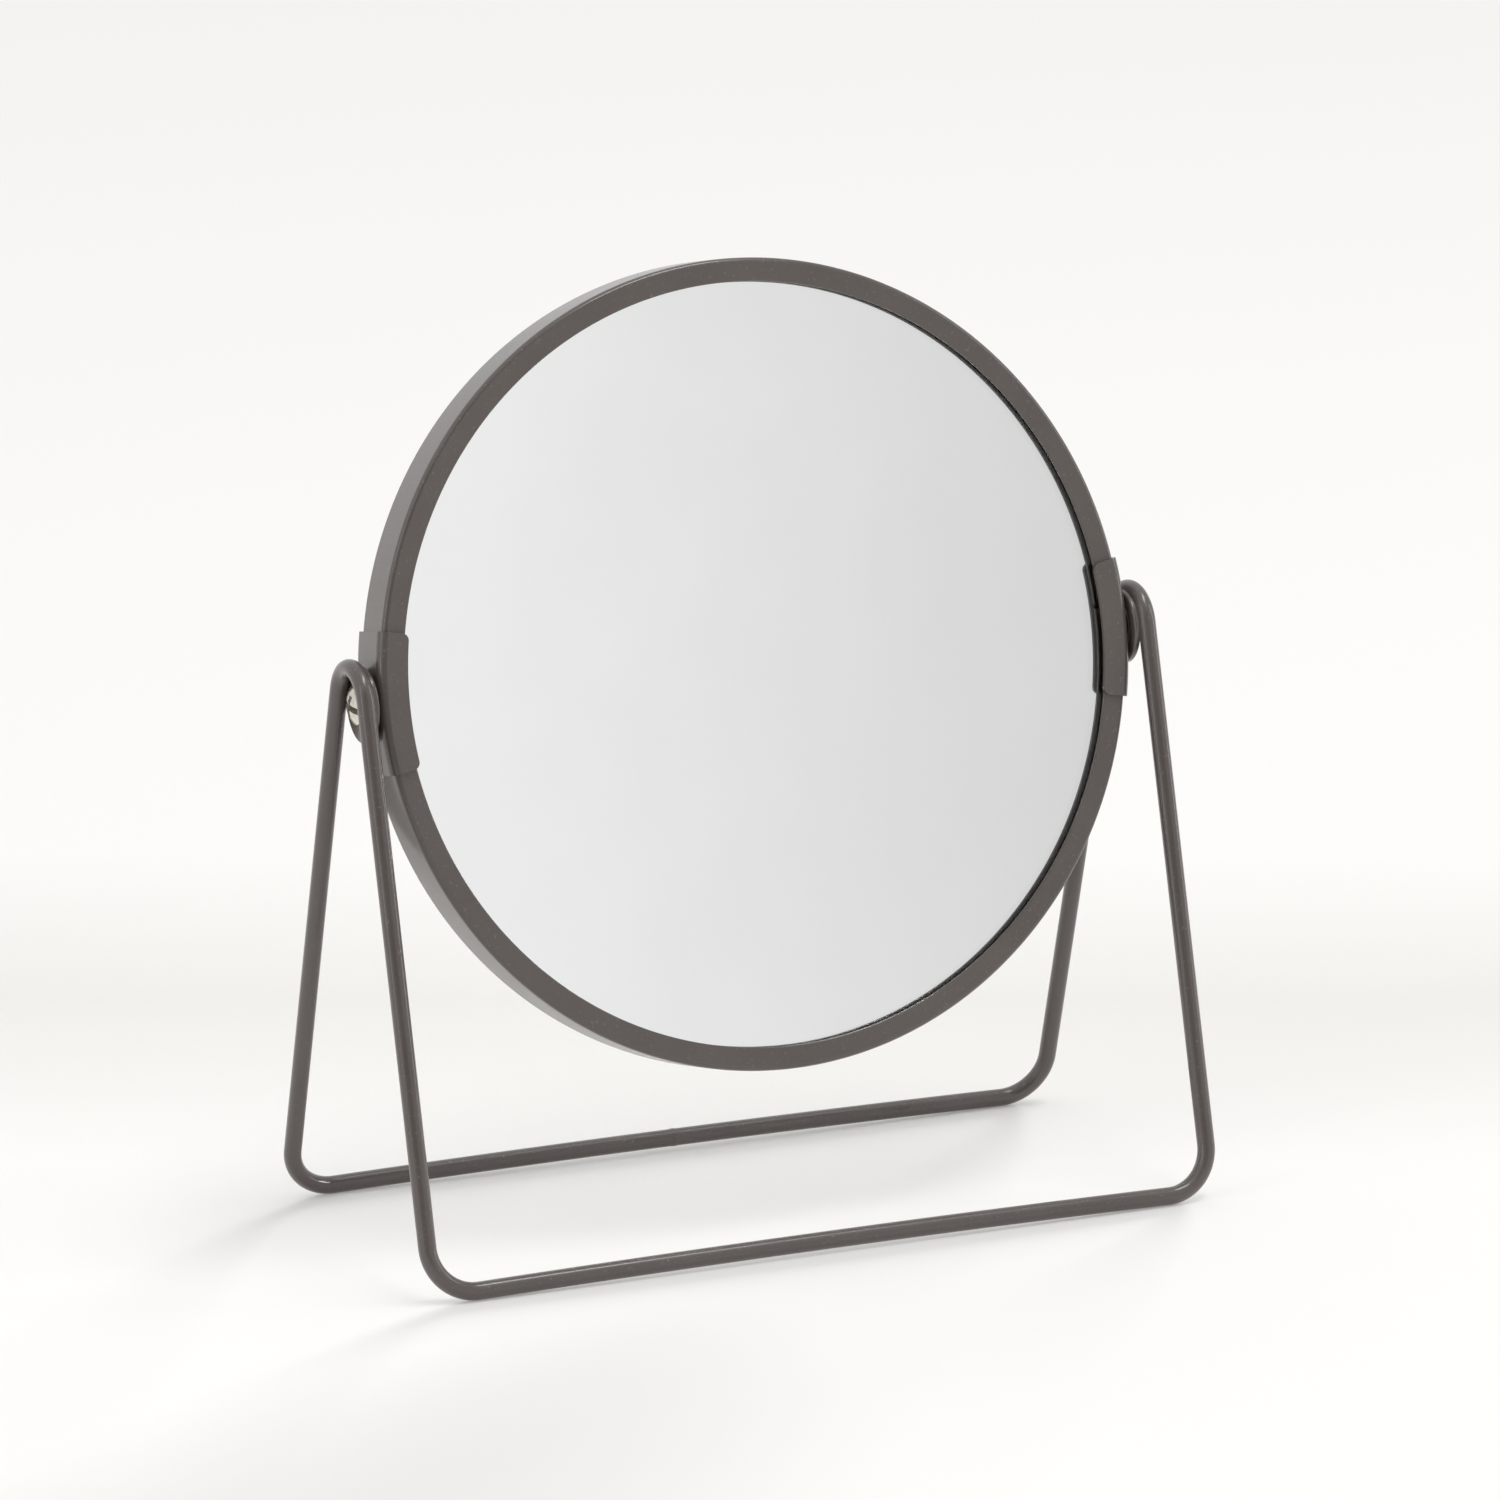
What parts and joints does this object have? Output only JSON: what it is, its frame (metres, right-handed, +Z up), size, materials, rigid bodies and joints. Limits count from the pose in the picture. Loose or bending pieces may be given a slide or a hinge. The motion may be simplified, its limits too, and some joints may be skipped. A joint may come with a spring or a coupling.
{
  "type": "tilting vanity mirror",
  "caption": "Two-sided round tilting mirror in a rolled metal rim, held by side screws in a free-standing stand of bent wire.",
  "frame": {"origin": "on the ground, straight below the middle of the pivot axis", "axes": "+Z up, X along the pivot axis, the plain mirror faces -Y and leans back 12 degrees at rest"},
  "size_m": [0.1828, 0.0851, 0.2012],
  "materials": {
    "paint": "semi-gloss warm grey paint",
    "glass_mirror": "polished, silvered behind",
    "screw_steel": "bright zinc plate",
    "nut_steel": "plain steel",
    "washer_nylon": "black nylon",
    "backing": "grey plastic film",
    "spacer": "pressed board"
  },
  "bodies": {
    "stand": {"wire_stand": "paint", "left_pivot_disc": "paint", "right_pivot_disc": "paint"},
    "mirror_head": {"rim": "paint", "plain_mirror": "glass_mirror", "backing_sheet": "backing", "spacer_ring": "spacer", "magnifying_mirror": "glass_mirror", "left_clip": "paint", "right_clip": "paint", "left_nut_plate": "nut_steel", "right_nut_plate": "nut_steel", "left_friction_washer": "washer_nylon", "right_friction_washer": "washer_nylon", "left_pivot_screw": "screw_steel", "right_pivot_screw": "screw_steel"}
  },
  "joints": [
    {"name": "mirror_tilt", "type": "hinge", "parent": "stand", "child": "mirror_head", "pos_m": [0, 0, 0.117], "axis": [1, 0, 0], "continuous": true}
  ]
}
